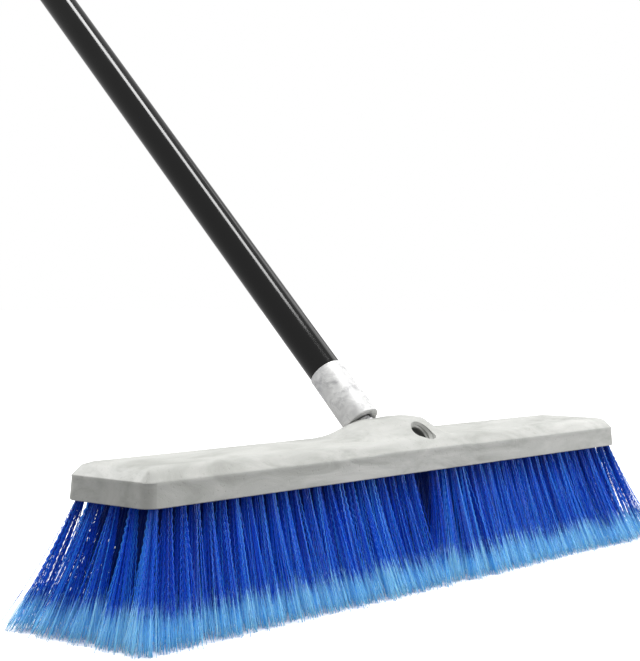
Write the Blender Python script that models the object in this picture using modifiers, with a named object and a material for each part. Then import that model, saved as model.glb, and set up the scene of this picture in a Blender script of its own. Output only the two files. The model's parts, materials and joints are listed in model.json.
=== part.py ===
"""Push broom: a moulded block with five rows of staple-set tufts and a handle that screws into it.

Metres, +Z up. The origin is on the floor under the middle of the block, +X runs along the block
and the handle leans towards +Y. The handle is screwed fully home.
"""

import bmesh
import bpy
from math import cos, pi, radians, sin, tan
from mathutils import Matrix, Vector

# Block
BLOCK_LENGTH = 0.613
BLOCK_WIDTH = 0.086
BLOCK_THICKNESS = 0.0262
CORNER_RADIUS = 0.0100
TOP_BEVEL = 0.0085
UNDERSIDE_Z = 0.089

# Raised hump in the middle of the block, with a sloped face for each handle socket
HUMP_HEIGHT = 0.0415
HUMP_TOP_HALF_X = 0.030
HUMP_TOP_HALF_Y = 0.008
HUMP_SLOPE = radians(36)
HUMP_EDGE_RADIUS = 0.004

# Threaded sockets, named by where their mouth is: the handle leans to the back, the spare to the front
HANDLE_TILT = radians(44.3)
HANDLE_SEAT = Vector((-0.018, 0.0109, UNDERSIDE_Z + 0.0384))
SPARE_TILT = radians(48)
SPARE_MOUTH = Vector((0.018, -0.0235, UNDERSIDE_Z + 0.0293))
SOCKET_RADIUS = 0.0098
HANDLE_SOCKET_DEPTH = 0.0272
SPARE_SOCKET_DEPTH = 0.0185
SEAT_RADIUS = 0.0172
COUNTERSINK_RADIUS = 0.0125
COUNTERSINK_DEPTH = 0.003
COUNTERSINK_OVERLAP = 0.001
CLEARING_LENGTH = 0.030
SOCKET_CUTTER_OUTSIDE = 0.020
SEAT_CUTTER_LENGTH = 0.050

# Tufts: five rows, each tuft with its folded end in its own blind hole. A run is 11 to 25 tufts
ROW_COUNT = 5
MIDDLE_ROW = ROW_COUNT // 2
ROW_PITCH = 0.0180
TUFT_PITCH = 0.0127
TUFTS_PER_HALF_ROW = 23
INNER_RUN = 12
FIRST_TUFT_X = 0.0165
TUFT_HOLE_RADIUS = 0.0035
TUFT_HOLE_DEPTH = 0.0085
TUFT_HOLE_CUTTER_OUTSIDE = 0.003
TUFT_ROOT_RADIUS = 0.0026
TUFT_SPREAD_RADIUS = 0.0044
TUFT_ROOT_DEPTH = 0.0078
TUFT_MERGE_DROP = 0.024
FLARE_X = 0.038
FLARE_Y = 0.025
MATTED_TOP_HALF_THICKNESS = 0.0042
ROOT_OVERLAP = 0.004

# Handle, measured along its axis from the seat on the block
STUD_RADIUS = 0.0093
STUD_LENGTH = 0.0254
STUD_NECK_RADIUS = 0.0060
STUD_HEAD_RADIUS = 0.0090
STUD_HEAD_THICKNESS = 0.0030
STUD_CHAMFER = 0.0015
FERRULE_LENGTH = 0.055
FERRULE_FLOOR = 0.008
FERRULE_RADIUS_LOW = 0.0157
FERRULE_RADIUS_HIGH = 0.0151
FERRULE_EDGE = 0.0008
TUBE_RADIUS = 0.0143
TUBE_WALL = 0.0012
HANDLE_LENGTH = 1.524
CAP_SKIRT_LENGTH = 0.030
CAP_TAB_LENGTH = 0.024
CAP_WALL = 0.0013
CAP_TAB_THICKNESS = 0.009
HANG_HOLE_RADIUS = 0.0045
HANG_HOLE_MARGIN = 0.0045
CHEEK_CUTTER_THICKNESS = 0.020
CHEEK_CUTTER_WIDTH = 0.040
HANG_HOLE_CUTTER_HALF_LENGTH = 0.030

GAP = 0.0003
ROUND_STEPS = 32
SOCKET_STEPS = 16
TUFT_STEPS = 5
SMALL_MERGE = 0.00005

COLLECTION_NAME = "push_broom"
CUTTER_COLLECTION_NAME = "push_broom_cutters"


def clear_scene():
    for old in list(bpy.data.objects):
        bpy.data.objects.remove(old, do_unlink=True)


def new_collection(name):
    collection = bpy.data.collections.new(name)
    bpy.context.scene.collection.children.link(collection)
    return collection


def principled(name, colour, roughness, metallic=0.0):
    material = bpy.data.materials.new(name)
    material.use_nodes = True
    shader = material.node_tree.nodes["Principled BSDF"]
    shader.inputs["Base Color"].default_value = (*colour, 1.0)
    shader.inputs["Roughness"].default_value = roughness
    shader.inputs["Metallic"].default_value = metallic
    return material


def add_object(name, bm, collection, material=None, parent=None):
    """Makes a named mesh object from a bmesh, and frees the bmesh."""
    mesh = bpy.data.meshes.new(name)
    bm.to_mesh(mesh)
    bm.free()
    return add_mesh(name, mesh, collection, material, parent)


def add_mesh(name, mesh, collection, material=None, parent=None):
    made = bpy.data.objects.new(name, mesh)
    collection.objects.link(made)
    made.parent = parent
    if material:
        mesh.materials.append(material)
    return made


def add_cutter(name, bm, parent=None):
    made = add_object(name, bm, cutters, parent=parent)
    made.hide_render = True
    made.display_type = "WIRE"
    return made


def add_empty(name, location, tilt):
    """An empty whose +Z is the socket's axis: tilted from vertical towards +Y."""
    empty = bpy.data.objects.new(name, None)
    empty.location = location
    empty.rotation_euler = (-tilt, 0.0, 0.0)
    parts.objects.link(empty)
    return empty


def add_boolean(target, operand, operation):
    modifier = target.modifiers.new(operation.lower() + "_" + operand.name, "BOOLEAN")
    modifier.object = operand
    modifier.operation = operation
    modifier.solver = "EXACT"


def smooth(made, angle=35):
    made.data.shade_smooth()
    made.data.set_sharp_from_angle(angle=radians(angle))


def box(size, centre):
    bm = bmesh.new()
    bmesh.ops.create_cube(bm, size=1.0)
    bmesh.ops.scale(bm, vec=size, verts=bm.verts)
    bmesh.ops.translate(bm, vec=centre, verts=bm.verts)
    return bm


def add_cone(bm, radius_low, radius_high, start, end, steps):
    """Adds a closed cone or cylinder that runs from start to end, which isn't below start."""
    axis = end - start
    turn = axis.to_track_quat("Z", "X").to_matrix().to_4x4()
    bmesh.ops.create_cone(
        bm,
        cap_ends=True,
        segments=steps,
        radius1=radius_low,
        radius2=radius_high,
        depth=axis.length,
        matrix=Matrix.Translation((start + end) / 2) @ turn,
    )


def turned(name, profile, material, parent, steps=ROUND_STEPS):
    """A turned solid: profile holds (radius, height) points, down the outside and up the inside."""
    mesh = bpy.data.meshes.new(name)
    points = [(radius, 0.0, height) for radius, height in profile]
    edges = [(i, i + 1) for i in range(len(points) - 1)]
    if profile[0][0] > 0:
        edges.append((len(points) - 1, 0))
    mesh.from_pydata(points, edges, [])
    made = add_mesh(name, mesh, parts, material, parent)
    screw = made.modifiers.new("turn", "SCREW")
    screw.axis = "Z"
    screw.steps = steps
    screw.render_steps = steps
    screw.use_merge_vertices = True
    screw.merge_threshold = SMALL_MERGE
    screw.use_smooth_shade = True
    return made


def slab_body():
    """The plain block: rounded in plan, with a broad bevel round its top."""
    centre = (0.0, 0.0, UNDERSIDE_Z + BLOCK_THICKNESS / 2)
    bm = box((BLOCK_LENGTH, BLOCK_WIDTH, BLOCK_THICKNESS), centre)
    upright = [e for e in bm.edges if abs(e.verts[0].co.z - e.verts[1].co.z) > BLOCK_THICKNESS / 2]
    bmesh.ops.bevel(
        bm, geom=upright, offset=CORNER_RADIUS, segments=5, profile=0.5, affect="EDGES"
    )
    top = UNDERSIDE_Z + BLOCK_THICKNESS - SMALL_MERGE
    rim = [e for e in bm.edges if all(v.co.z > top for v in e.verts)]
    bmesh.ops.bevel(bm, geom=rim, offset=TOP_BEVEL, segments=1, profile=0.5, affect="EDGES")
    return bm


def hump_body():
    """A wedge with sloped sides that rises from just above the block's side faces."""
    foot_half_y = BLOCK_WIDTH / 2 - 2 * GAP
    rise = (foot_half_y - HUMP_TOP_HALF_Y) * tan(HUMP_SLOPE)
    foot_half_x = HUMP_TOP_HALF_X + rise / tan(HUMP_SLOPE)
    foot_z = UNDERSIDE_Z + HUMP_HEIGHT - rise
    bm = box((2.0, 2.0, 1.0), (0.0, 0.0, 0.5))
    for vert in bm.verts:
        high = vert.co.z > 0.5
        vert.co.x *= HUMP_TOP_HALF_X if high else foot_half_x
        vert.co.y *= HUMP_TOP_HALF_Y if high else foot_half_y
        vert.co.z = foot_z + rise if high else foot_z
    raised = [e for e in bm.edges if any(v.co.z > foot_z + rise / 2 for v in e.verts)]
    bmesh.ops.bevel(
        bm, geom=raised, offset=HUMP_EDGE_RADIUS, segments=2, profile=0.5, affect="EDGES"
    )
    return bm


def socket_cutter(name, depth, parent):
    bm = bmesh.new()
    low = Vector((0, 0, -depth))
    add_cone(
        bm, SOCKET_RADIUS, SOCKET_RADIUS, low, Vector((0, 0, SOCKET_CUTTER_OUTSIDE)), SOCKET_STEPS
    )
    return add_cutter(name, bm, parent)


def seat_cutter(parent):
    """A flat seat, square to the handle, for the end of the ferrule."""
    bm = bmesh.new()
    low = Vector((0, 0, -GAP))
    add_cone(bm, SEAT_RADIUS, SEAT_RADIUS, low, Vector((0, 0, SEAT_CUTTER_LENGTH)), ROUND_STEPS)
    return add_cutter("seat_cutter", bm, parent)


def countersink_cutter(parent):
    """A cone down into the socket, and a cylinder that clears the block in front of the mouth."""
    bm = bmesh.new()
    slope = (COUNTERSINK_RADIUS - SOCKET_RADIUS) / COUNTERSINK_DEPTH
    low = Vector((0, 0, -COUNTERSINK_DEPTH - COUNTERSINK_OVERLAP))
    low_radius = SOCKET_RADIUS - slope * COUNTERSINK_OVERLAP
    add_cone(bm, low_radius, COUNTERSINK_RADIUS, low, Vector((0, 0, 0)), ROUND_STEPS)
    top_face = next(f for f in bm.faces if all(v.co.z > -SMALL_MERGE for v in f.verts))
    raised = bmesh.ops.extrude_face_region(bm, geom=[top_face])["geom"]
    lifted = [v for v in raised if isinstance(v, bmesh.types.BMVert)]
    bmesh.ops.translate(bm, vec=(0, 0, CLEARING_LENGTH), verts=lifted)
    bmesh.ops.delete(bm, geom=[top_face], context="FACES_ONLY")
    return add_cutter("countersink_cutter", bm, parent)


def row_y(row):
    return (row - MIDDLE_ROW) * ROW_PITCH


def runs_of(row):
    """The runs of tufts in one row, from left to right: a name, and where its tufts leave the block."""
    right = [FIRST_TUFT_X + i * TUFT_PITCH for i in range(TUFTS_PER_HALF_ROW)]
    inner, outer = right[:INNER_RUN], right[INNER_RUN:]
    left_inner, left_outer = ([-x for x in reversed(run)] for run in (inner, outer))
    if row == MIDDLE_ROW:
        centre = left_inner + [0.0] + inner
        return (("far_left", left_outer), ("middle", centre), ("far_right", outer))
    return (
        ("far_left", left_outer),
        ("left", left_inner),
        ("right", inner),
        ("far_right", outer),
    )


def flared(x, y):
    """Where the tip of the tuft that leaves the block at x, y meets the floor."""
    half_length = BLOCK_LENGTH / 2
    half_rows = row_y(ROW_COUNT - 1)
    return Vector((x + FLARE_X * (x / half_length) ** 3, y + FLARE_Y * y / half_rows, 0.0))


def tuft_line(x, y):
    """The tuft's root on the underside, and the unit vector that it leaves along."""
    root = Vector((x, y, UNDERSIDE_Z))
    return root, (flared(x, y) - root).normalized()


def tuft_hole_cutters():
    bm = bmesh.new()
    for row in range(ROW_COUNT):
        for x in [x for _, xs in runs_of(row) for x in xs]:
            root, out = tuft_line(x, row_y(row))
            deep = root - out * TUFT_HOLE_DEPTH
            outside = root + out * TUFT_HOLE_CUTTER_OUTSIDE
            add_cone(bm, TUFT_HOLE_RADIUS, TUFT_HOLE_RADIUS, outside, deep, TUFT_STEPS)
    return add_cutter("tuft_hole_cutters", bm)


def make_block():
    block = add_object("block", slab_body(), parts, foam_plastic)
    add_boolean(block, add_cutter("hump", hump_body()), "UNION")
    add_boolean(block, seat_cutter(handle_axis), "DIFFERENCE")
    add_boolean(block, socket_cutter("handle_socket", HANDLE_SOCKET_DEPTH, handle_axis), "DIFFERENCE")
    add_boolean(block, countersink_cutter(spare_axis), "DIFFERENCE")
    add_boolean(block, socket_cutter("spare_socket", SPARE_SOCKET_DEPTH, spare_axis), "DIFFERENCE")
    add_boolean(block, tuft_hole_cutters(), "DIFFERENCE")
    smooth(block)


def run_edge(x, drop):
    """The end of a run that starts at x under the block, at this drop. The centre gap closes below."""
    tip_x = 0.0 if abs(x) < FIRST_TUFT_X else flared(x, 0.0).x
    return x + (tip_x - x) * drop / UNDERSIDE_Z


def matted_slab(row, xs):
    """The lower part of a run, where its tufts spread into each other: a slab that flares out."""
    y = row_y(row)
    tip_y = flared(0.0, y).y
    tip_half = (ROW_PITCH + FLARE_Y / MIDDLE_ROW) / 2 - GAP / 2
    top_y = y + (tip_y - y) * TUFT_MERGE_DROP / UNDERSIDE_Z
    low_x, high_x = min(xs) - TUFT_PITCH / 2, max(xs) + TUFT_PITCH / 2
    bm = box((2.0, 2.0, 1.0), (0.0, 0.0, 0.5))
    for vert in bm.verts:
        high = vert.co.z > 0.5
        drop = TUFT_MERGE_DROP if high else UNDERSIDE_Z
        right = vert.co.x > 0
        x = run_edge(high_x, drop) - GAP / 2 if right else run_edge(low_x, drop) + GAP / 2
        middle = top_y if high else tip_y
        half = MATTED_TOP_HALF_THICKNESS if high else tip_half
        vert.co = (x, middle + vert.co.y * half, UNDERSIDE_Z - drop)
    return bm


def make_tufts(name, row, xs):
    """One run of tufts: a root in each hole, merged into one flared slab below."""
    tufts = add_object(name, matted_slab(row, xs), parts, bristle)
    roots = bmesh.new()
    for x in xs:
        root, out = tuft_line(x, row_y(row))
        top = root - out * TUFT_ROOT_DEPTH
        bottom = root + out * (TUFT_MERGE_DROP + ROOT_OVERLAP)
        add_cone(roots, TUFT_SPREAD_RADIUS, TUFT_ROOT_RADIUS, bottom, top, TUFT_STEPS)
    add_boolean(tufts, add_cutter(name + "_roots", roots), "UNION")
    smooth(tufts)


def make_rows():
    for row in range(ROW_COUNT):
        for word, xs in runs_of(row):
            make_tufts("tufts_row_" + str(row + 1) + "_" + word, row, xs)


def make_thread_stud():
    """The threaded stud at its thread's outer size, with a neck through the ferrule's floor."""
    head_low = FERRULE_FLOOR + GAP
    head_high = head_low + STUD_HEAD_THICKNESS
    profile = [
        (0.0, head_high),
        (STUD_HEAD_RADIUS, head_high),
        (STUD_HEAD_RADIUS, head_low),
        (STUD_NECK_RADIUS, head_low),
        (STUD_NECK_RADIUS, -GAP),
        (STUD_RADIUS, -GAP),
        (STUD_RADIUS, STUD_CHAMFER - STUD_LENGTH),
        (STUD_RADIUS - STUD_CHAMFER, -STUD_LENGTH),
        (0.0, -STUD_LENGTH),
    ]
    turned("thread_stud", profile, zinc, handle_axis, SOCKET_STEPS)


def make_ferrule():
    """A tapered cast cup over the end of the tube, with a hole in its floor for the stud."""
    inner = TUBE_RADIUS + GAP
    hole = STUD_NECK_RADIUS + GAP
    profile = [
        (FERRULE_RADIUS_HIGH - FERRULE_EDGE / 2, FERRULE_LENGTH),
        (FERRULE_RADIUS_HIGH, FERRULE_LENGTH - FERRULE_EDGE),
        (FERRULE_RADIUS_LOW, FERRULE_EDGE),
        (FERRULE_RADIUS_LOW - FERRULE_EDGE, 0.0),
        (hole, 0.0),
        (hole, FERRULE_FLOOR),
        (inner, FERRULE_FLOOR),
        (inner, FERRULE_LENGTH),
    ]
    turned("ferrule", profile, cast_metal, handle_axis)


def make_tube():
    low = FERRULE_FLOOR + STUD_HEAD_THICKNESS + 3 * GAP
    high = HANDLE_LENGTH - CAP_TAB_LENGTH
    inner = TUBE_RADIUS - TUBE_WALL
    profile = [(TUBE_RADIUS, high), (TUBE_RADIUS, low), (inner, low), (inner, high)]
    turned("handle_tube", profile, black_paint, handle_axis)


def make_hang_cap():
    """A moulded cap over the top of the tube, with a flat tab and a hole to hang it by."""
    tube_end = HANDLE_LENGTH - CAP_TAB_LENGTH
    inner = TUBE_RADIUS + GAP
    outer = inner + CAP_WALL
    dome = [
        (outer * cos(angle), tube_end + CAP_TAB_LENGTH / 2 * (1 + sin(angle)))
        for angle in (pi / 3, pi / 6, 0.0)
    ]
    profile = [(0.0, HANDLE_LENGTH)] + dome
    profile += [
        (outer, tube_end - CAP_SKIRT_LENGTH),
        (inner, tube_end - CAP_SKIRT_LENGTH),
        (inner, tube_end + GAP),
        (0.0, tube_end + GAP),
    ]
    cap = turned("hang_cap", profile, cap_plastic, handle_axis)
    tab_floor = tube_end + CAP_WALL + GAP
    for side, word in ((-1, "left"), (1, "right")):
        cheek_x = side * (CAP_TAB_THICKNESS + CHEEK_CUTTER_THICKNESS) / 2
        centre = (cheek_x, 0.0, tab_floor + CHEEK_CUTTER_WIDTH / 2)
        cheek = box((CHEEK_CUTTER_THICKNESS, CHEEK_CUTTER_WIDTH, CHEEK_CUTTER_WIDTH), centre)
        add_boolean(cap, add_cutter("cap_cheek_" + word, cheek, handle_axis), "DIFFERENCE")
    middle = tab_floor + HANG_HOLE_RADIUS + HANG_HOLE_MARGIN
    hole = bmesh.new()
    ends = [Vector((side * HANG_HOLE_CUTTER_HALF_LENGTH, 0.0, middle)) for side in (-1, 1)]
    add_cone(hole, HANG_HOLE_RADIUS, HANG_HOLE_RADIUS, ends[0], ends[1], SOCKET_STEPS)
    add_boolean(cap, add_cutter("hang_hole", hole, handle_axis), "DIFFERENCE")


clear_scene()
parts = new_collection(COLLECTION_NAME)
cutters = new_collection(CUTTER_COLLECTION_NAME)

foam_plastic = principled("light_grey_foam_plastic", (0.62, 0.62, 0.60), 0.6)
bristle = principled("blue_bristle", (0.02, 0.08, 0.50), 0.45)
zinc = principled("zinc_stud", (0.66, 0.66, 0.67), 0.4, 1.0)
cast_metal = principled("cast_metal", (0.75, 0.75, 0.76), 0.35, 1.0)
black_paint = principled("gloss_black_paint", (0.012, 0.012, 0.014), 0.15)
cap_plastic = principled("black_cap_plastic", (0.02, 0.02, 0.022), 0.5)

handle_axis = add_empty("handle_axis", HANDLE_SEAT, HANDLE_TILT)
spare_axis = add_empty("spare_axis", SPARE_MOUTH, -SPARE_TILT)

make_block()
make_rows()
make_thread_stud()
make_ferrule()
make_tube()
make_hang_cap()
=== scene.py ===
"""Push broom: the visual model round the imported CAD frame, with its stage, lights and camera."""

import json
from math import atan2, cos, exp, pi, radians, sin, tan

import bmesh
import bpy
import numpy as np
from mathutils import Matrix, Vector


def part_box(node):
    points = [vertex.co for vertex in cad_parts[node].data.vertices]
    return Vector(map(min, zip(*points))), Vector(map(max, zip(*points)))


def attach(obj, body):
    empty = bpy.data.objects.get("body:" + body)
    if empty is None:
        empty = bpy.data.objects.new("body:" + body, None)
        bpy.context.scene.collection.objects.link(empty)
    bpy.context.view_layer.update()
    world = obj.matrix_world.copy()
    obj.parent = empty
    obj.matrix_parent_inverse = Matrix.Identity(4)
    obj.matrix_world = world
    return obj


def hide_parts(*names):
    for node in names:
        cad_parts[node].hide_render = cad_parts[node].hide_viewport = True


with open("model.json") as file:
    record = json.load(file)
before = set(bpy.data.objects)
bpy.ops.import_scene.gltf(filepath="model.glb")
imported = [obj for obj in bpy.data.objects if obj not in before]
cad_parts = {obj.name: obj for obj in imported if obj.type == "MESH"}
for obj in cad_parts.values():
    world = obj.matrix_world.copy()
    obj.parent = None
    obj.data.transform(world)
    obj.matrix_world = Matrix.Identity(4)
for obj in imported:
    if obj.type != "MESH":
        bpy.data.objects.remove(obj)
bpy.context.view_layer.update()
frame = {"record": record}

# Places and sizes that the frame gives
JOINTS = {joint["name"]: joint for joint in frame["record"]["behaviour"]["joints"]}
SEAT = Vector(JOINTS["thread_turn"]["pos_m"])
HANDLE_AXIS = Vector(JOINTS["thread_turn"]["axis"]).normalized()
HANDLE_TILT = atan2(HANDLE_AXIS.y, HANDLE_AXIS.z)
BLOCK_LOW, BLOCK_HIGH = (Vector(corner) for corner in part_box("block"))
UNDERSIDE_Z = BLOCK_LOW.z
HALF_LENGTH = BLOCK_HIGH.x
HALF_WIDTH = BLOCK_HIGH.y
HUMP_HEIGHT = BLOCK_HIGH.z - UNDERSIDE_Z

# Block, as in the CAD
BLOCK_THICKNESS = 0.0262
CORNER_RADIUS = 0.010
TOP_BEVEL = 0.0085
SIDE_DRAFT = 0.0012
HUMP_TOP_HALF_X = 0.030
HUMP_TOP_HALF_Y = 0.008
HUMP_SLOPE = radians(36)
SPARE_TILT = radians(48)
SPARE_MOUTH = Vector((0.018, -0.0235, UNDERSIDE_Z + 0.0293))
SOCKET_RADIUS = 0.0098
HANDLE_SOCKET_DEPTH = 0.0272
SPARE_SOCKET_DEPTH = 0.0185
SEAT_RADIUS = 0.0172
COUNTERSINK_RADIUS = 0.0114
COUNTERSINK_DEPTH = 0.003
GAP = 0.0003

# Block: how its faces blend, and the flat face round the spare socket
BEVEL_RISE = 0.97
FLAT_BLEND = 0.003
HUMP_CORNER_BLEND = 0.006
HUMP_TOP_BLEND = 0.003
HUMP_FOOT_BLEND = 0.005
SPARE_FACE_HALF_X = 0.0165
SPARE_FACE_LIFT = 0.0006
SPARE_FACE_SIDE_BLEND = 0.004
SPARE_FACE_BLEND = 0.002
SPARE_FACE_FOOT_BLEND = 0.003
SHARP_EDGE_ANGLE = radians(38)

# Block: the steps of its grid, with the end zone as a share of the half length, and the rings of its
# side, each as a share of the height and a share of the draft
FINE_STEP = 0.0024
COARSE_STEP = 0.008
FINE_TO = 0.075
END_ZONE = 0.024
END_STEPS = 22
END_POWER = 1.3
STEPS_ACROSS = 65
SIDE_RINGS = ((0.96, 0.7), (0.85, 0.85), (0.5, 0.5), (0.12, 0.12), (0.03, 0.1), (0.0, 0.55))

# Cutters of the block, which reach past its faces
SEAT_CUTTER_HIGH = 0.05
SOCKET_CUTTER_HIGH = 0.02
FUNNEL_HIGH = 0.03
FUNNEL_OVERLAP = 0.0009
FUNNEL_FOOT_INSET = 0.0016
THREAD_CUTTER_HIGH = 0.012

# The spare socket gets painted shade inside: a ball round a point down its axis, and where its edge
# fades
SOCKET_SHADE_DEPTH = 0.0125
SOCKET_SHADE_FROM = 0.0105
SOCKET_SHADE_TO = 0.0135

# Thread: 3/4 inch with 5 turns to the inch
THREAD_PITCH = 0.00508
THREAD_DEPTH = 0.0014
THREAD_STEPS = 72
THREAD_STEPS_PER_TURN = 14
TOOTH_HEIGHT = 2.2
TOOTH_SLOPE = 6.4

# Handle, measured along its axis from the seat on the block
STUD_RADIUS = 0.0093
STUD_LENGTH = 0.0254
STUD_RUNOUT = 0.003
FERRULE_LENGTH = 0.055
FERRULE_RADIUS_LOW = 0.0157
FERRULE_RADIUS_HIGH = 0.0151
FERRULE_EDGE_RADIUS = 0.0010
FERRULE_LIP_DEPTH = 0.006
FERRULE_TUBE_GAP = 0.0001
FERRULE_SWELL = 0.0001
FERRULE_SWELL_HIGH = 0.75
FERRULE_SWELL_LOW = 0.3
FERRULE_DISH_DEPTH = 0.002
FERRULE_DISH_STEP = 0.001
TUBE_RADIUS = 0.0143
TUBE_IN_FERRULE = 0.012
TUBE_SHORT_OF_TAB = 0.002
TUBE_STATIONS = 60
HANDLE_LENGTH = 1.524
CAP_SKIRT_LENGTH = 0.030
CAP_TAB_LENGTH = 0.024
CAP_RADIUS = 0.0159
CAP_TAB_THICKNESS = 0.009
CAP_DOME_STEPS = 12
CAP_CHAMFER_HEIGHT = 0.001
CAP_CHAMFER_WIDTH = 0.0006
CAP_TUBE_GAP = 0.0002
CAP_CEILING_DROP = 0.001
CAP_TAB_FLOOR = 0.0016
CAP_EDGE_RADIUS = 0.0007
CHEEK_CUTTER_SIZE = 0.04
HANG_HOLE_RADIUS = 0.0045
HANG_HOLE_MARGIN = 0.0045
HANG_HOLE_CUTTER_HALF = 0.03
TURNED_STEPS = 96

# A rounded corner takes at most this share of each of its two sides
CORNER_REACH = 0.45

# Tufts, as in the CAD
ROW_COUNT = 5
MIDDLE_ROW = ROW_COUNT // 2
ROW_PITCH = 0.0180
TUFT_PITCH = 0.0127
TUFTS_PER_HALF_ROW = 23
INNER_RUN = 12
FIRST_TUFT_X = 0.0165
FLARE_X = 0.038
FLARE_Y = 0.025
FLARE_POWER = 3
SAME_PLACE = 0.001

# Filaments. Those in full view are crimped: their centre lines zigzag from ring to ring
OUTER_STRANDS = 54
OUTER_RINGS = 37
INNER_STRANDS = 40
INNER_RINGS = 9
STRAND_RADIUS = 0.00034
TUFT_ROOT_RADIUS = 0.0030
TUFT_TIP_RADIUS = 0.0108
BETWEEN_ROWS = 1.55
CRIMP_SIZE = 0.00055
SPLIT_FROM = 0.70
HAIRS_PER_STRAND = 2
HAIR_SPREAD = 0.0016
GAP_LEAN_LEFT = 0.004
GAP_LEAN_RIGHT = -0.024
GAP_LEAN_REACH = 0.030

# Filaments: how they spread. A share is of the plain spread of a tuft, and the crimp grows over the
# first 1 / CRIMP_START of a filament
ALONG_ROW = 0.9
BESIDE_GAP_SHARE = 0.35
OUTWARD_SHARE = 0.6
STRAY_CHANCE = 0.02
STRAY_SHARE = 1.9
STRAND_SCATTER = 0.0024
TUFT_SCATTER = 0.0012
FAN_CURVE = 0.25
SHIFT_CURVE = 0.2
SHIFT_POWER = 1.6
LEAN_POWER = 1.3
END_TUFT_EXTRA = 1.5
CRIMP_FADE = 0.75
CRIMP_START = 8
CRIMP_TURN = 0.5
CRIMP_TUFT_TURN = 0.4
CRIMP_IN_STEP = 0.88
TRIM_DEPTH = 0.0030
TRIM_POWER = 3
ROOT_DEPTH = 0.003
TIP_TAPER = 0.35
STRAND_SIDES = 3

# Split ends of the filaments
HAIR_STEPS = 4
HAIR_LIFT = 0.0007
HAIR_THICKNESS = 0.55

# Filaments: chance picks the blue of each one, and depth sets the painted shade on those inside a tuft
CHANCE_MEAN = 0.45
CHANCE_BY_TUFT = 0.09
CHANCE_BY_STRAND = 0.33
DEPTH_SHARE = 0.4

# Stage
FLOOR_SIZE = 60.0
GROUND_DROP = 0.002
AMBIENT = 0.68

# Lights: name, place, aim, width, height and power
LIGHTS = (
    ("overhead", (0.24, -0.10, 2.5), (0.24, -0.10, 0.0), 0.60, 1.10, 43),
    ("right", (2.0, -0.2, 1.5), (0.0, 0.1, 0.3), 1.2, 1.6, 10),
    ("front_right", (1.1, -1.3, 0.55), (0.2, 0.0, 0.05), 0.8, 0.8, 13),
    ("back", (-0.5, 1.7, 1.7), (-0.1, 0.0, 0.1), 1.2, 1.2, 34),
)

# Camera: its height is above the underside of the block
CAMERA_X = -0.9785
CAMERA_Y = -0.7615
CAMERA_HEIGHT = 0.1361
CAMERA_YAW = 0.8654
CAMERA_PITCH = 0.0185
CAMERA_ROLL = 0.0024
CAMERA_LENS = 81.69
CAMERA_SENSOR = 36.0

rng = np.random.default_rng(24)


# ---- helpers -------------------------------------------------------------------------------


def link(name, mesh, material, smooth_angle=40):
    """An object of the mesh, smooth but for edges sharper than the angle in degrees."""
    made = bpy.data.objects.new(name, mesh)
    bpy.context.scene.collection.objects.link(made)
    mesh.materials.append(material)
    mesh.shade_smooth()
    if smooth_angle:
        mesh.set_sharp_from_angle(angle=radians(smooth_angle))
    return made


def mesh_of(name, points, faces):
    mesh = bpy.data.meshes.new(name)
    mesh.from_pydata([tuple(p) for p in points], [], faces)
    mesh.update()
    return mesh


def tilted(tilt, origin):
    """A matrix whose +Z is an axis that leans from vertical towards +Y."""
    return Matrix.Translation(origin) @ Matrix.Rotation(-tilt, 4, "X")


HANDLE_PLACE = tilted(HANDLE_TILT, SEAT)
SPARE_PLACE = tilted(-SPARE_TILT, SPARE_MOUTH)


def smooth_min(a, b, blend):
    """The lower of two heights, rounded where they are less than blend apart."""
    mix = np.clip(0.5 + 0.5 * (b - a) / blend, 0.0, 1.0)
    return b * (1 - mix) + a * mix - blend * mix * (1 - mix)


def smooth_max(a, b, blend):
    return -smooth_min(-a, -b, blend)


def turned_mesh(name, profile, steps):
    """Turns (radius, height) points about Z: down the outside, then up the inside or to the axis."""
    angles = np.linspace(0, 2 * pi, steps, endpoint=False)
    rings = len(profile)
    points = [(r * cos(a), r * sin(a), z) for a in angles for r, z in profile]
    faces = []
    for i in range(steps):
        j = (i + 1) % steps
        for k in range(rings - 1):
            faces.append((i * rings + k, i * rings + k + 1, j * rings + k + 1, j * rings + k))
    mesh = mesh_of(name, points, faces)
    bm = bmesh.new()
    bm.from_mesh(mesh)
    bmesh.ops.remove_doubles(bm, verts=bm.verts, dist=1e-6)
    bmesh.ops.recalc_face_normals(bm, faces=bm.faces)
    bm.to_mesh(mesh)
    bm.free()
    return mesh


def rounded(profile, radius, steps=4):
    """Rounds the corners of an open profile, but for its two ends."""
    result = [profile[0]]
    for before, corner, after in zip(profile, profile[1:], profile[2:]):
        here = Vector(corner)
        back = Vector(before) - here
        on = Vector(after) - here
        reach = min(radius, back.length * CORNER_REACH, on.length * CORNER_REACH)
        start, end = here + back.normalized() * reach, here + on.normalized() * reach
        for i in range(steps + 1):
            t = i / steps
            point = start * (1 - t) ** 2 + here * 2 * t * (1 - t) + end * t**2
            result.append((point.x, point.y))
    result.append(profile[-1])
    return result


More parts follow.
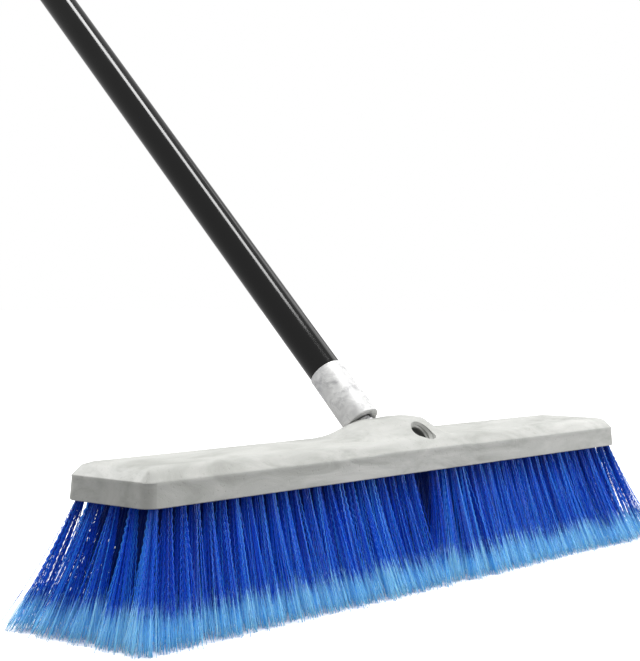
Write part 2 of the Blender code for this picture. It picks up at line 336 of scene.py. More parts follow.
def helix_mesh(name, core, crest, low, high, runout=0.0):
    """A closed threaded rod about Z, whose thread fades over the runout at both ends."""
    steps = THREAD_STEPS
    count = int((high - low) / THREAD_PITCH * THREAD_STEPS_PER_TURN)
    heights = np.linspace(low, high, count + 1)
    angles = np.linspace(0, 2 * pi, steps, endpoint=False)
    grid_z, grid_a = np.meshgrid(heights, angles, indexing="ij")
    phase = (grid_z / THREAD_PITCH - grid_a / (2 * pi)) % 1.0
    tooth = np.clip(TOOTH_HEIGHT - np.abs(phase - 0.5) * TOOTH_SLOPE, 0.0, 1.0)
    if runout:
        fade = np.clip((grid_z - low) / runout, 0, 1) * np.clip((high - grid_z) / runout, 0, 1)
        tooth = tooth * fade
    radius = core + (crest - core) * tooth
    points = np.stack([radius * np.cos(grid_a), radius * np.sin(grid_a), grid_z], -1).reshape(-1, 3)
    faces = []
    for i in range(count):
        for j in range(steps):
            k = (j + 1) % steps
            faces.append((i * steps + j, i * steps + k, (i + 1) * steps + k, (i + 1) * steps + j))
    faces.append(tuple(reversed(range(steps))))
    faces.append(tuple(range(count * steps, (count + 1) * steps)))
    return mesh_of(name, points, faces)


def cut(target, mesh, place):
    """Cuts a mesh at a place out of the target, for good."""
    cutter = bpy.data.objects.new("cutter", mesh)
    bpy.context.scene.collection.objects.link(cutter)
    cutter.matrix_world = place
    modifier = target.modifiers.new("cut", "BOOLEAN")
    modifier.object = cutter
    modifier.operation = "DIFFERENCE"
    modifier.solver = "EXACT"
    bpy.context.view_layer.update()
    graph = bpy.context.evaluated_depsgraph_get()
    result = bpy.data.meshes.new_from_object(target.evaluated_get(graph))
    target.modifiers.clear()
    target.data = result
    bpy.data.objects.remove(cutter)


def cylinder_mesh(name, radius, low, high, steps=64):
    profile = [(0.0, high), (radius, high), (radius, low), (0.0, low)]
    return turned_mesh(name, profile, steps)


# ---- materials -----------------------------------------------------------------------------


class Nodes:
    """A material's node tree, built a node at a time."""

    def __init__(self, name):
        self.material = bpy.data.materials.new(name)
        self.material.use_nodes = True
        self.tree = self.material.node_tree
        self.shader = self.tree.nodes["Principled BSDF"]
        self.coords = self.tree.nodes.new("ShaderNodeTexCoord").outputs["Object"]

    def add(self, kind, inputs=(), **settings):
        node = self.tree.nodes.new(kind)
        for key, value in settings.items():
            setattr(node, key, value)
        for key, value in dict(inputs).items():
            if isinstance(value, bpy.types.NodeSocket):
                self.tree.links.new(value, node.inputs[key])
            else:
                node.inputs[key].default_value = value
        return node

    def stretched(self, scale):
        return self.add(
            "ShaderNodeMapping", {"Vector": self.coords, "Scale": scale}
        ).outputs["Vector"]

    def noise(self, scale, detail=4.0, roughness=0.55, vector=None, distortion=0.0):
        node = self.add(
            "ShaderNodeTexNoise",
            {
                "Vector": vector or self.coords,
                "Scale": scale,
                "Detail": detail,
                "Roughness": roughness,
                "Distortion": distortion,
            },
        )
        return node.outputs["Fac"]

    def ramp(self, factor, stops):
        node = self.add("ShaderNodeValToRGB", {"Fac": factor})
        ramp = node.color_ramp
        while len(ramp.elements) < len(stops):
            ramp.elements.new(1.0)
        for element, (position, colour) in zip(ramp.elements, stops):
            element.position = position
            element.color = (*colour, 1.0)
        return node.outputs["Color"]

    def levels(self, factor, low, high, to_low=0.0, to_high=1.0):
        node = self.add(
            "ShaderNodeMapRange",
            {"Value": factor, "From Min": low, "From Max": high, "To Min": to_low, "To Max": to_high},
        )
        return node.outputs["Result"]

    def mix(self, factor, a, b):
        node = self.add("ShaderNodeMix", data_type="RGBA")
        for socket, value in ((0, factor), (6, a), (7, b)):
            if isinstance(value, bpy.types.NodeSocket):
                self.tree.links.new(value, node.inputs[socket])
            elif socket == 0:
                node.inputs[socket].default_value = value
            else:
                node.inputs[socket].default_value = (*value, 1.0)
        return node.outputs[2]

    def math(self, operation, a, b):
        node = self.add("ShaderNodeMath", operation=operation)
        for socket, value in ((0, a), (1, b)):
            if isinstance(value, bpy.types.NodeSocket):
                self.tree.links.new(value, node.inputs[socket])
            else:
                node.inputs[socket].default_value = value
        return node.outputs[0]

    def bump(self, height, strength, distance, below=None):
        inputs = {"Height": height, "Strength": strength, "Distance": distance}
        if below:
            inputs["Normal"] = below
        return self.add("ShaderNodeBump", inputs).outputs["Normal"]

    def connect(self, **sockets):
        for name, value in sockets.items():
            socket = self.shader.inputs[name.replace("_", " ")]
            if isinstance(value, bpy.types.NodeSocket):
                self.tree.links.new(value, socket)
            else:
                socket.default_value = value
        return self.material


def foam_plastic():
    """Structural foam: pale grey, with soft swirls where the melt folded, a fine moulded grain and
    painted shade inside the spare socket.
    """
    n = Nodes("light_grey_foam_plastic")
    long_way = n.stretched((0.45, 1.0, 1.6))
    swirl = n.noise(26.0, 5.0, 0.6, long_way, 1.6)
    cloud = n.noise(9.0, 3.0, 0.5, long_way, 0.4)
    grain = n.noise(1500.0, 3.0, 0.6)
    pits = n.noise(420.0, 2.0, 0.5)
    greys = [
        (0.30, (0.29, 0.295, 0.275)),
        (0.48, (0.40, 0.405, 0.385)),
        (0.70, (0.50, 0.50, 0.48)),
    ]
    base = n.ramp(swirl, greys)
    toned = n.mix(n.levels(cloud, 0.35, 0.7, 0.0, 0.45), base, (0.37, 0.375, 0.35))
    speckled = n.mix(n.levels(pits, 0.64, 0.72, 0.0, 0.4), toned, (0.27, 0.27, 0.25))
    # Painted shade: a near black ball inside the spare socket darkens its walls
    inward = Vector((0.0, sin(SPARE_TILT), -cos(SPARE_TILT)))
    centre = SPARE_MOUTH + inward * SOCKET_SHADE_DEPTH
    away = n.add("ShaderNodeVectorMath", {0: n.coords, 1: centre}, operation="DISTANCE")
    painted_socket_shade = n.levels(away.outputs["Value"], SOCKET_SHADE_FROM, SOCKET_SHADE_TO, 0.85, 0.0)
    colour = n.mix(painted_socket_shade, speckled, (0.045, 0.045, 0.045))
    waves = n.bump(swirl, 0.35, 0.0012)
    skin = n.bump(grain, 0.25, 0.0003, waves)
    dents = n.bump(n.levels(pits, 0.62, 0.72, 1.0, 0.0), 0.25, 0.0003, skin)
    rough = n.levels(cloud, 0.3, 0.7, 0.42, 0.58)
    return n.connect(Base_Color=colour, Roughness=rough, Normal=dents, Specular_IOR_Level=0.45)


def bristle_plastic():
    """Polypropylene filament: royal blue, paling to sky blue where the ends are split, with painted
    shade near the roots and deep inside each tuft.

    Its faint glow is painted light, standing for the light that passes through the filaments.
    """
    n = Nodes("blue_bristle")
    own = n.add("ShaderNodeAttribute", attribute_name="strand").outputs["Color"]
    parts = n.add("ShaderNodeSeparateColor", {"Color": own})
    along, chance, depth = (parts.outputs[i] for i in range(3))
    patches = n.noise(30.0, 3.0, 0.6, n.stretched((1.0, 1.0, 0.25)))
    edge = n.math("ADD", along, n.levels(patches, 0.3, 0.7, -0.05, 0.05))
    edge = n.math("ADD", edge, n.levels(chance, 0.0, 1.0, -0.06, 0.08))
    pale = n.levels(edge, 0.735, 0.83, 0.0, 1.0)
    blues = [
        (0.0, (0.001, 0.022, 0.32)),
        (0.3, (0.002, 0.055, 0.66)),
        (0.85, (0.004, 0.100, 0.86)),
        (1.0, (0.025, 0.240, 1.00)),
    ]
    deep = n.ramp(chance, blues)
    # Painted shade: filaments deep inside a tuft are darkened towards deep blue
    inner = n.mix(n.levels(depth, 0.0, 1.0, 0.0, 0.9), deep, (0.001, 0.009, 0.10))
    # Painted shade: darker near the roots, under the block
    painted_shade_colour = n.mix(n.levels(along, 0.0, 0.30, 0.7, 0.0), inner, (0.001, 0.010, 0.12))
    tip = n.ramp(chance, [(0.0, (0.07, 0.42, 1.0)), (1.0, (0.26, 0.68, 1.0))])
    colour = n.mix(pale, painted_shade_colour, tip)
    ridges = n.noise(900.0, 2.0, 0.5, n.stretched((1.0, 1.0, 0.08)))
    streaks = n.bump(ridges, 0.2, 0.0002)
    rough = n.levels(pale, 0.0, 1.0, 0.36, 0.6)
    # Painted light: the emission gives the filaments a faint glow in their own colour
    return n.connect(
        Base_Color=colour,
        Roughness=rough,
        Normal=streaks,
        Specular_IOR_Level=0.3,
        Subsurface_Weight=0.6,
        Subsurface_Radius=(0.5, 0.7, 1.0),
        Subsurface_Scale=0.002,
        Emission_Color=colour,
        Emission_Strength=0.09,
    )


def cast_metal():
    """Bright die-cast metal: soft flow marks, darker scuffs and a fine grain."""
    n = Nodes("cast_metal")
    flow = n.noise(70.0, 4.0, 0.6, None, 1.0)
    scuff = n.noise(75.0, 6.0, 0.7, None, 0.6)
    fine = n.noise(1100.0, 3.0, 0.6)
    bright = n.ramp(flow, [(0.3, (0.52, 0.52, 0.52)), (0.7, (0.78, 0.78, 0.77))])
    marks = n.levels(scuff, 0.50, 0.68, 0.0, 0.75)
    colour = n.mix(marks, bright, (0.30, 0.30, 0.31))
    rough = n.levels(flow, 0.3, 0.7, 0.46, 0.62)
    skin = n.bump(fine, 0.2, 0.0002, n.bump(flow, 0.35, 0.0008))
    return n.connect(Base_Color=colour, Roughness=rough, Normal=skin, Metallic=0.6)


def zinc():
    """Worn zinc plate."""
    n = Nodes("zinc_stud")
    wear = n.noise(240.0, 4.0, 0.6)
    colour = n.ramp(wear, [(0.35, (0.42, 0.42, 0.43)), (0.65, (0.66, 0.66, 0.67))])
    rough = n.levels(wear, 0.3, 0.7, 0.32, 0.5)
    return n.connect(Base_Color=colour, Roughness=rough, Normal=n.bump(wear, 0.2, 0.0003), Metallic=1.0)


def black_paint():
    """Gloss black enamel: a faint orange peel and a little dust."""
    n = Nodes("gloss_black_paint")
    peel = n.noise(420.0, 2.0, 0.5)
    dust = n.noise(900.0, 5.0, 0.7)
    colour = n.mix(n.levels(dust, 0.66, 0.8, 0.0, 0.25), (0.004, 0.004, 0.004), (0.04, 0.04, 0.04))
    rough = n.levels(n.noise(35.0, 3.0), 0.3, 0.7, 0.10, 0.17)
    skin = n.bump(peel, 0.06, 0.0002)
    return n.connect(Base_Color=colour, Roughness=rough, Normal=skin, Specular_IOR_Level=0.30)


def cap_plastic():
    """Satin black plastic with a moulded grain."""
    n = Nodes("black_cap_plastic")
    grain = n.noise(1300.0, 3.0, 0.6)
    colour = n.ramp(n.noise(60.0), [(0.3, (0.012, 0.012, 0.013)), (0.7, (0.024, 0.024, 0.026))])
    rough = n.levels(grain, 0.3, 0.7, 0.42, 0.56)
    return n.connect(Base_Color=colour, Roughness=rough, Normal=n.bump(grain, 0.25, 0.0002))


# ---- block ---------------------------------------------------------------------------------


def outline_distance(x, y, inset):
    """How far inside the block's rounded outline a point is, once the outline is drawn in by inset."""
    radius = CORNER_RADIUS
    qx = np.abs(x) - (HALF_LENGTH - inset - radius)
    qy = np.abs(y) - (HALF_WIDTH - inset - radius)
    outside = np.hypot(np.maximum(qx, 0), np.maximum(qy, 0))
    return radius - outside - np.minimum(np.maximum(qx, qy), 0)


def half_width_at(x, inset):
    """Half the width of the outline at x."""
    start = HALF_LENGTH - inset - CORNER_RADIUS
    over = np.clip(np.abs(x) - start, 0, CORNER_RADIUS)
    return HALF_WIDTH - inset - CORNER_RADIUS + np.sqrt(np.maximum(CORNER_RADIUS**2 - over**2, 0))


def hump_height(x, y):
    """The sloped sides and flat top of the hump, above the underside."""
    end = HUMP_HEIGHT - (np.abs(x) - HUMP_TOP_HALF_X) * tan(HUMP_SLOPE)
    side = HUMP_HEIGHT - (np.abs(y) - HUMP_TOP_HALF_Y) * tan(HUMP_SLOPE)
    return smooth_min(smooth_min(end, side, HUMP_CORNER_BLEND), HUMP_HEIGHT, HUMP_TOP_BLEND)


def top_height(x, y):
    """The block's top above its underside: side wall, bevel, flat and hump blended into each other."""
    inside = np.maximum(outline_distance(x, y, SIDE_DRAFT), 0)
    rim = BLOCK_THICKNESS - TOP_BEVEL + inside * BEVEL_RISE
    plain = smooth_min(rim, BLOCK_THICKNESS, FLAT_BLEND)
    humped = smooth_max(plain, hump_height(x, y), HUMP_FOOT_BLEND)
    return smooth_max(humped, spare_face(x, y), SPARE_FACE_FOOT_BLEND)


def spare_face(x, y):
    """The flat face square to the spare socket, which stands out of the hump's front slope."""
    mouth_height = SPARE_MOUTH.z - UNDERSIDE_Z
    face = mouth_height + SPARE_FACE_LIFT + (y - SPARE_MOUTH.y) * tan(SPARE_TILT)
    sides = HUMP_HEIGHT - (np.abs(x - SPARE_MOUTH.x) - SPARE_FACE_HALF_X) * tan(SPARE_TILT)
    back = HUMP_HEIGHT - (y - HUMP_TOP_HALF_Y) * tan(HUMP_SLOPE)
    level = smooth_min(face, HUMP_HEIGHT, SPARE_FACE_BLEND)
    level = smooth_min(level, sides, SPARE_FACE_SIDE_BLEND)
    return smooth_min(level, back, SPARE_FACE_BLEND) - SPARE_FACE_LIFT


def half_stations():
    """Stations from the middle of the block (0) to its end (1): fine, then coarse, then fine again."""
    fine_to = FINE_TO / HALF_LENGTH
    near = np.arange(0, fine_to, FINE_STEP / HALF_LENGTH)
    middle = np.arange(fine_to, 1.0 - END_ZONE, COARSE_STEP / HALF_LENGTH)
    far = 1.0 - END_ZONE * (1 - np.linspace(0, 1, END_STEPS)) ** END_POWER
    return np.concatenate([near, middle, far])


def block_mesh():
    """The block's skin as a grid over its top, rings down its side, and a flat underside."""
    half = half_stations()
    u = np.concatenate([-half[:0:-1], half])
    swing = np.sin(np.linspace(-pi / 2, pi / 2, STEPS_ACROSS))
    v = swing * 0.5 + np.linspace(-1, 1, STEPS_ACROSS) * 0.5
    count_x, count_y = len(u), len(v)

    def sheet_xy(inset):
        x = u * (HALF_LENGTH - inset)
        width = half_width_at(x, inset)
        return np.repeat(x[:, None], count_y, 1), width[:, None] * v[None, :]

    x, y = sheet_xy(SIDE_DRAFT)
    top = np.stack([x, y, top_height(x, y)], -1).reshape(-1, 3)
    index = np.arange(count_x * count_y).reshape(count_x, count_y)
    faces = [
        (index[i, j], index[i + 1, j], index[i + 1, j + 1], index[i, j + 1])
        for i in range(count_x - 1)
        for j in range(count_y - 1)
    ]
    loop = np.concatenate([index[:, 0], index[-1, 1:], index[-2::-1, -1], index[0, -2:0:-1]])
    points = [top]
    previous = loop
    rim = top[loop][:, 2]
    for share, inset in SIDE_RINGS:
        ring_x, ring_y = sheet_xy(SIDE_DRAFT * inset)
        ring = np.stack([ring_x.reshape(-1)[loop], ring_y.reshape(-1)[loop], rim * share], -1)
        start = sum(len(p) for p in points)
        points.append(ring)
        here = np.arange(start, start + len(loop))
        after = np.roll(here, -1)
        before_next = np.roll(previous, -1)
        faces += [tuple(f) for f in zip(previous, here, after, before_next)]
        previous = here
    faces.append(tuple(previous[::-1]))
    points = np.concatenate(points)
    points[:, 2] += UNDERSIDE_Z
    mesh = mesh_of("block_skin", points, [tuple(int(i) for i in f) for f in faces])
    bm = bmesh.new()
    bm.from_mesh(mesh)
    bmesh.ops.recalc_face_normals(bm, faces=bm.faces)
    bm.to_mesh(mesh)
    bm.free()
    return mesh


def make_block(material):
    """The block, with the plain bore the stud fills and the countersunk, threaded spare socket."""
    block = link("broom_block", block_mesh(), material)
    cut(block, cylinder_mesh("seat", SEAT_RADIUS, -GAP, SEAT_CUTTER_HIGH), HANDLE_PLACE)
    bore = cylinder_mesh("bore", SOCKET_RADIUS, -HANDLE_SOCKET_DEPTH, SOCKET_CUTTER_HIGH)
    cut(block, bore, HANDLE_PLACE)
    funnel_foot = -COUNTERSINK_DEPTH - FUNNEL_OVERLAP
    funnel = [
        (0.0, FUNNEL_HIGH),
        (COUNTERSINK_RADIUS, FUNNEL_HIGH),
        (COUNTERSINK_RADIUS, 0.0),
        (SOCKET_RADIUS - FUNNEL_FOOT_INSET, funnel_foot),
        (0.0, funnel_foot),
    ]
    cut(block, turned_mesh("funnel", funnel, 64), SPARE_PLACE)
    core = SOCKET_RADIUS - THREAD_DEPTH
    thread = helix_mesh("thread", core, SOCKET_RADIUS, -SPARE_SOCKET_DEPTH, THREAD_CUTTER_HIGH)
    cut(block, thread, SPARE_PLACE)
    block.data.shade_smooth()
    block.data.set_sharp_from_angle(angle=SHARP_EDGE_ANGLE)
    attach(block, "head")
    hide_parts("block")


# ---- bristles ------------------------------------------------------------------------------


def row_y(row):
    """Where a row of tufts leaves the block. Row 0 is the front."""
    return (row - MIDDLE_ROW) * ROW_PITCH


def runs_of(row):
    """The runs of tufts in one row, from left to right, as in the CAD."""
    right = [FIRST_TUFT_X + i * TUFT_PITCH for i in range(TUFTS_PER_HALF_ROW)]
    inner, outer = right[:INNER_RUN], right[INNER_RUN:]
    left_inner, left_outer = ([-x for x in reversed(run)] for run in (inner, outer))
    if row == MIDDLE_ROW:
        return (("far_left", left_outer), ("middle", left_inner + [0.0] + inner), ("far_right", outer))
    return (("far_left", left_outer), ("left", left_inner), ("right", inner), ("far_right", outer))


def flared(x, y):
    """Where the tip of the tuft that leaves the block at x, y meets the floor."""
    return x + FLARE_X * (x / HALF_LENGTH) ** FLARE_POWER, y + FLARE_Y * y / row_y(ROW_COUNT - 1)


def gap_lean(x):
    """How far the tip of a tuft beside the centre gap leans along the block to close it."""
    if abs(x) < FIRST_TUFT_X:
        return 0.0
    lean = GAP_LEAN_RIGHT if x > 0 else GAP_LEAN_LEFT
    return lean * exp(-(abs(x) - FIRST_TUFT_X) / GAP_LEAN_REACH)


def crimp(count, rings, t):
    """How far each point of the centre lines zigzags, for filaments that mostly keep in step."""
    turn = rng.normal(0, CRIMP_TURN, count) + rng.normal(0, CRIMP_TUFT_TURN)
    side = np.where(np.arange(rings) % 2 == 0, 1.0, -1.0)[None, :, None]
    flip = np.where(rng.uniform(0, 1, count) < CRIMP_IN_STEP, 1.0, -1.0)[:, None, None]
    size = CRIMP_SIZE * (1 - CRIMP_FADE * t) * np.clip(t * CRIMP_START, 0, 1)
    return side * flip * size * np.stack([np.cos(turn), np.sin(turn)], -1)[:, None, :]


def strand_paths(x, y, count, crimped):
    """Centre lines of one tuft's filaments, count by rings by 3, and how far out each one stands."""
    rings = OUTER_RINGS if crimped else INNER_RINGS
    tip_x, tip_y = flared(x, y)
    angle = rng.uniform(0, 2 * pi, count)
    spread = np.sqrt(rng.uniform(0, 1, count))
    beside_gap = BESIDE_GAP_SHARE if abs(abs(x) - FIRST_TUFT_X) < SAME_PLACE else 1.0
    outward = np.stack([np.cos(angle), np.sin(angle)], -1) * spread[:, None]
    stray = np.where(rng.uniform(0, 1, count) < STRAY_CHANCE, STRAY_SHARE, 1.0)[:, None]
    fan = outward * TUFT_TIP_RADIUS * np.array([ALONG_ROW * beside_gap, BETWEEN_ROWS]) * stray
    in_outer_row = abs(y) > ROW_PITCH * MIDDLE_ROW - SAME_PLACE
    outside = in_outer_row & (outward[:, 1] * y > 0)
    fan[:, 1] *= np.where(outside, OUTWARD_SHARE, 1.0)
    fan = fan + rng.normal(0, STRAND_SCATTER, (count, 2)) + rng.normal(0, TUFT_SCATTER, 2)
    shift = np.array([tip_x - x, tip_y - y])
    lean = np.array([gap_lean(x), 0.0])
    t = np.linspace(0, 1, rings)[None, :, None]
    root = outward[:, None, :] * TUFT_ROOT_RADIUS
    flat = root * (1 - t) + fan[:, None, :] * ((1 - FAN_CURVE) * t + FAN_CURVE * t**2)
    flat = flat + shift * ((1 - SHIFT_CURVE) * t + SHIFT_CURVE * t**SHIFT_POWER)
    flat = flat + lean * t**LEAN_POWER
    if crimped:
        flat = flat + crimp(count, rings, t)
    trim = rng.uniform(0, 1, count) ** TRIM_POWER * TRIM_DEPTH
    top = UNDERSIDE_Z + ROOT_DEPTH
    z = top - (top - trim)[:, None, None] * t
    return np.concatenate([flat + np.array([x, y]), z], -1), spread


def split_ends(paths):
    """Fine hairs that leave the last part of each filament, where its end is split."""
    count, rings, _ = paths.shape
    start = round((rings - 1) * SPLIT_FROM)
    stem = paths[:, start :: max(1, (rings - 1 - start) // HAIR_STEPS)]
    hairs = np.repeat(stem, HAIRS_PER_STRAND, 0)
    t = np.linspace(0, 1, hairs.shape[1])[None, :, None]
    apart = rng.normal(0, HAIR_SPREAD, (len(hairs), 1, 3)) * np.array([1.0, 1.0, 0.0])
    hairs = hairs + apart * t
    hairs[:, :, 2] += np.abs(rng.normal(0, HAIR_LIFT, (len(hairs), 1))) * t[..., 0]
    return hairs


def strands_data(paths, chances, depths, first=0.0, thickness=1.0):
    """Three-sided tapering tubes round the centre lines: points, sides, end faces and facts.

    The facts of a point are its place along the strand, the strand's chance and its depth, which the
    material turns into painted shade.
    """
    count, rings, _ = paths.shape
    around = np.linspace(0, 2 * pi, STRAND_SIDES, endpoint=False)
    twist = rng.uniform(0, 2 * pi, count)[:, None, None]
    t = np.linspace(first, 1, rings)
    radius = STRAND_RADIUS * thickness * (1.0 - TIP_TAPER * t)[None, :, None]
    points = np.repeat(paths[:, :, None, :], STRAND_SIDES, 2)
    points[..., 0] += np.cos(around[None, None, :] + twist) * radius
    points[..., 1] += np.sin(around[None, None, :] + twist) * radius
    index = np.arange(count * rings * STRAND_SIDES).reshape(count, rings, STRAND_SIDES)
    after = np.roll(index, -1, 2)
    sides = np.stack([index[:, :-1], index[:, 1:], after[:, 1:], after[:, :-1]], -1).reshape(-1, 4)
    ends = np.concatenate([index[:, -1, ::-1], index[:, 0]])
    facts = np.ones((count, rings, STRAND_SIDES, 4))
    facts[..., 0] = t[None, :, None]
    facts[..., 1] = chances[:, None, None]
    facts[..., 2] = depths[:, None, None]
    return points.reshape(-1, 3), sides, ends, facts.reshape(-1, 4)


def strands_mesh(name, parts):
    """One mesh of all the filaments of a run, with each point's place along its strand."""
    starts = np.cumsum([0] + [len(part[0]) for part in parts[:-1]])
    points = np.concatenate([part[0] for part in parts])
    sides = np.concatenate([part[1] + start for part, start in zip(parts, starts)])
    ends = np.concatenate([part[2] + start for part, start in zip(parts, starts)])
    facts = np.concatenate([part[3] for part in parts])
    corners = np.concatenate([sides.reshape(-1), ends.reshape(-1)])
    sizes = np.concatenate([np.full(len(sides), 4), np.full(len(ends), STRAND_SIDES)])
    mesh = bpy.data.meshes.new(name)
    mesh.vertices.add(len(points))
    mesh.vertices.foreach_set("co", points.reshape(-1))
    mesh.loops.add(len(corners))
    mesh.loops.foreach_set("vertex_index", corners)
    mesh.polygons.add(len(sizes))
    mesh.polygons.foreach_set("loop_start", np.concatenate([[0], np.cumsum(sizes)[:-1]]))
    mesh.update(calc_edges=True)
    layer = mesh.attributes.new("strand", "FLOAT_COLOR", "POINT")
    layer.data.foreach_set("color", facts.reshape(-1))
    return mesh


def in_full_view(x, row):
    """The outer rows and the last tuft of the others are what shows from outside."""
    last_but_one = FIRST_TUFT_X + (TUFTS_PER_HALF_ROW - 2) * TUFT_PITCH
    return row in (0, ROW_COUNT - 1) or abs(x) > last_but_one


def tuft_parts(x, row):
    """The filaments of one tuft, and in full view their split ends too."""
    seen = in_full_view(x, row)
    count = OUTER_STRANDS if seen else INNER_STRANDS
    if seen and abs(x) > HALF_LENGTH - TUFT_PITCH:
        count = round(count * END_TUFT_EXTRA)
    paths, spread = strand_paths(x, row_y(row), count, seen)
    chance = rng.normal(CHANCE_MEAN, CHANCE_BY_TUFT) + rng.normal(0, CHANCE_BY_STRAND, count)
    chance = np.clip(chance, 0, 1)
    if not seen:
        return [strands_data(paths, chance, np.ones(count))]
    # How deep inside the tuft a filament stands, for the painted shade on the deeper ones
    depth = 1 - (1 - DEPTH_SHARE + DEPTH_SHARE * spread)
    strands = strands_data(paths, chance, depth)
    hairs = split_ends(paths)
    again = [np.repeat(fact, HAIRS_PER_STRAND) for fact in (chance, depth)]
    return [strands, strands_data(hairs, *again, SPLIT_FROM, HAIR_THICKNESS)]


def make_bristles(material):
    """One piece of separate filaments for each run of tufts."""
    for row in range(ROW_COUNT):
        for word, xs in runs_of(row):
            label = "row_" + str(row + 1) + "_" + word
            parts = [part for x in xs for part in tuft_parts(x, row)]
            name = "bristles_" + label
            piece = link(name, strands_mesh(name, parts), material, None)
            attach(piece, "head")
            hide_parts("tufts_" + label)


# ---- handle --------------------------------------------------------------------------------


def make_stud(material):
    """The threaded stud, which starts just below the ferrule."""
    core = STUD_RADIUS - THREAD_DEPTH
    rod = helix_mesh("broom_stud", core, STUD_RADIUS, -STUD_LENGTH, -GAP, STUD_RUNOUT)
    stud = link("broom_stud", rod, material)
    stud.matrix_world = HANDLE_PLACE
    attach(stud, "stud")
    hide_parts("thread_stud")


def make_ferrule(material):
    """A tapered cup with a lip round the tube and a small dish over the stud."""
    profile = [
        (TUBE_RADIUS + FERRULE_TUBE_GAP, FERRULE_LENGTH - FERRULE_LIP_DEPTH),
        (TUBE_RADIUS + FERRULE_TUBE_GAP, FERRULE_LENGTH),
        (FERRULE_RADIUS_HIGH, FERRULE_LENGTH),
        (FERRULE_RADIUS_HIGH + FERRULE_SWELL, FERRULE_LENGTH * FERRULE_SWELL_HIGH),
        (FERRULE_RADIUS_LOW - FERRULE_SWELL, FERRULE_LENGTH * FERRULE_SWELL_LOW),
        (FERRULE_RADIUS_LOW, 0.0),
        (STUD_RADIUS, 0.0),
        (STUD_RADIUS - FERRULE_DISH_STEP, FERRULE_DISH_DEPTH),
        (0.0, FERRULE_DISH_DEPTH),
    ]
    smoothed = rounded(profile, FERRULE_EDGE_RADIUS, 5)
    mesh = turned_mesh("broom_ferrule", smoothed, TURNED_STEPS)
    ferrule = link("broom_ferrule", mesh, material)
    ferrule.matrix_world = HANDLE_PLACE
    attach(ferrule, "handle")
    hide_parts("ferrule")


def make_tube(material):
    """The painted tube, from inside the ferrule to inside the cap."""
    low = FERRULE_LENGTH - TUBE_IN_FERRULE
    high = HANDLE_LENGTH - CAP_TAB_LENGTH - TUBE_SHORT_OF_TAB
    stations = np.linspace(high, low, TUBE_STATIONS)
    profile = [(0.0, high)] + [(TUBE_RADIUS, z) for z in stations] + [(0.0, low)]
    tube = link("broom_handle", turned_mesh("broom_handle", profile, TURNED_STEPS), material)
    tube.matrix_world = HANDLE_PLACE
    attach(tube, "handle")
    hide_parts("handle_tube")


def make_cap(material):
    """A domed cap over the end of the tube, cut down to a flat tab with a hole to hang it by."""
    tube_end = HANDLE_LENGTH - CAP_TAB_LENGTH
    skirt_end = tube_end - CAP_SKIRT_LENGTH
    ceiling = tube_end - CAP_CEILING_DROP
    profile = [(0.0, HANDLE_LENGTH)]
    for i in range(1, CAP_DOME_STEPS + 1):
        angle = pi / 2 - i * pi / 2 / CAP_DOME_STEPS
        profile.append((CAP_RADIUS * cos(angle), tube_end + CAP_TAB_LENGTH / 2 * (1 + sin(angle))))
    profile += [
        (CAP_RADIUS, skirt_end + CAP_CHAMFER_HEIGHT),
        (CAP_RADIUS - CAP_CHAMFER_WIDTH, skirt_end),
        (TUBE_RADIUS + CAP_TUBE_GAP, skirt_end),
        (TUBE_RADIUS + CAP_TUBE_GAP, ceiling),
        (0.0, ceiling),
    ]
    cap = link("broom_hang_cap", turned_mesh("broom_hang_cap", profile, TURNED_STEPS), material)
    tab_floor = tube_end + CAP_TAB_FLOOR
    for side in (-1, 1):
        bm = bmesh.new()
        bmesh.ops.create_cube(bm, size=CHEEK_CUTTER_SIZE)
        cheek = bpy.data.meshes.new("cheek")
        bm.to_mesh(cheek)
        bm.free()
        reach = CHEEK_CUTTER_SIZE / 2
        centre = Vector((side * (CAP_TAB_THICKNESS / 2 + reach), 0.0, tab_floor + reach))
        cut(cap, cheek, Matrix.Translation(centre))
    middle = tab_floor + HANG_HOLE_RADIUS + HANG_HOLE_MARGIN
    ends = (-HANG_HOLE_CUTTER_HALF, HANG_HOLE_CUTTER_HALF)
    hole = cylinder_mesh("hole", HANG_HOLE_RADIUS, *ends, 48)
    place = Matrix.Translation((0.0, 0.0, middle)) @ Matrix.Rotation(pi / 2, 4, "Y")
    cut(cap, hole, place)
    edges = cap.modifiers.new("edges", "BEVEL")
    edges.width = CAP_EDGE_RADIUS
    edges.segments = 3
    edges.limit_method = "ANGLE"
    edges.angle_limit = radians(40)
    cap.matrix_world = HANDLE_PLACE
    cap.data.shade_smooth()
    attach(cap, "handle")
    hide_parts("hang_cap")


# ---- stage, light and camera ---------------------------------------------------------------


def floor_plane(name, height, material):
    """A wide plane of the stage that shiny pieces don't reflect."""
    bpy.ops.mesh.primitive_plane_add(size=FLOOR_SIZE, location=(0.0, 0.0, height))
    plane = bpy.context.object
    plane.name = name
    plane.data.materials.append(material)
    plane.visible_glossy = False
    return plane


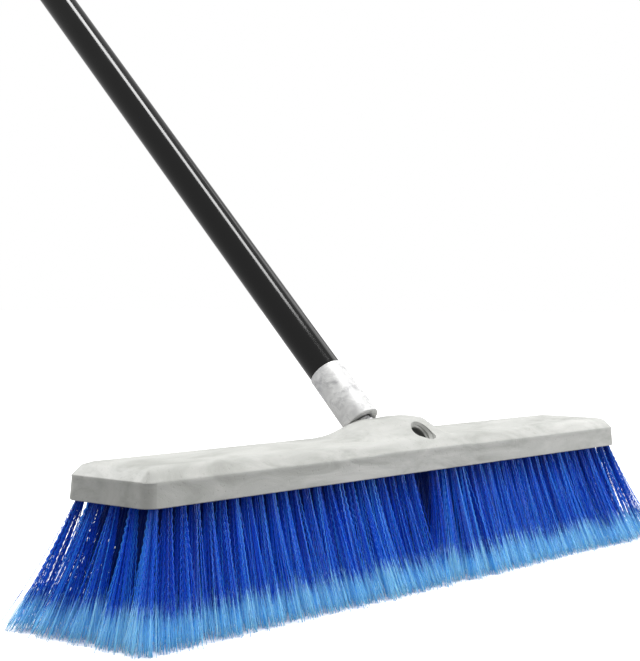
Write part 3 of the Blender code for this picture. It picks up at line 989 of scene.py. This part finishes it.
def make_stage():
    """A pale floor that fades into a white surround, and the darker ground that lights the object."""
    n = Nodes("white_floor")
    away = n.add("ShaderNodeVectorMath", {0: n.coords}, operation="LENGTH").outputs["Value"]
    glow = n.levels(away, 0.5, 2.2, 0.12, 0.62)
    pale = n.connect(
        Base_Color=(0.9, 0.9, 0.9, 1.0),
        Roughness=0.95,
        Specular_IOR_Level=0.0,
        Emission_Color=(1.0, 1.0, 1.0, 1.0),
        Emission_Strength=glow,
    )
    floor_plane("floor", 0.0, pale).visible_diffuse = False
    under = Nodes("grey_ground").connect(Base_Color=(0.5, 0.5, 0.5, 1.0), Roughness=1.0)
    floor_plane("ground", -GROUND_DROP, under).visible_camera = False
    world = bpy.data.worlds.new("studio")
    bpy.context.scene.world = world
    world.use_nodes = True
    tree = world.node_tree
    back = tree.nodes["Background"]
    back.inputs["Color"].default_value = (1.0, 1.0, 1.0, 1.0)
    seen = tree.nodes.new("ShaderNodeLightPath").outputs["Is Camera Ray"]
    level = tree.nodes.new("ShaderNodeMapRange")
    level.inputs["To Min"].default_value = AMBIENT
    level.inputs["To Max"].default_value = 1.0
    tree.links.new(seen, level.inputs["Value"])
    tree.links.new(level.outputs["Result"], back.inputs["Strength"])


def area_light(name, place, aim, size, size_y, power):
    """A soft box that faces its aim."""
    light = bpy.data.lights.new(name, "AREA")
    light.shape = "RECTANGLE"
    light.size = size
    light.size_y = size_y
    light.energy = power
    lamp = bpy.data.objects.new(name, light)
    lamp.location = place
    lamp.rotation_euler = (Vector(aim) - Vector(place)).to_track_quat("-Z", "Y").to_euler()
    bpy.context.scene.collection.objects.link(lamp)


def make_lights():
    """Soft boxes: overhead, for the line along the handle, to the right, low in front, and behind."""
    for settings in LIGHTS:
        area_light(*settings)


def make_camera():
    """A view from the left and in front, just above the block."""
    yaw, pitch, roll = CAMERA_YAW, CAMERA_PITCH, CAMERA_ROLL
    data = bpy.data.cameras.new("camera")
    data.lens = CAMERA_LENS
    data.sensor_width = CAMERA_SENSOR
    camera = bpy.data.objects.new("camera", data)
    forward = Vector((sin(yaw) * cos(pitch), cos(yaw) * cos(pitch), -sin(pitch)))
    level = Vector((cos(yaw), -sin(yaw), 0.0))
    upright = level.cross(forward)
    right = level * cos(roll) + upright * sin(roll)
    above = upright * cos(roll) - level * sin(roll)
    turn = Matrix((right, above, -forward)).transposed().to_4x4()
    place = (CAMERA_X, CAMERA_Y, CAMERA_HEIGHT + UNDERSIDE_Z)
    camera.matrix_world = Matrix.Translation(place) @ turn
    bpy.context.scene.collection.objects.link(camera)
    bpy.context.scene.camera = camera


make_camera()
make_stage()
make_lights()
make_block(foam_plastic())
make_bristles(bristle_plastic())
make_stud(zinc())
make_ferrule(cast_metal())
make_tube(black_paint())
make_cap(cap_plastic())
bpy.context.scene.view_settings.view_transform = "Standard"
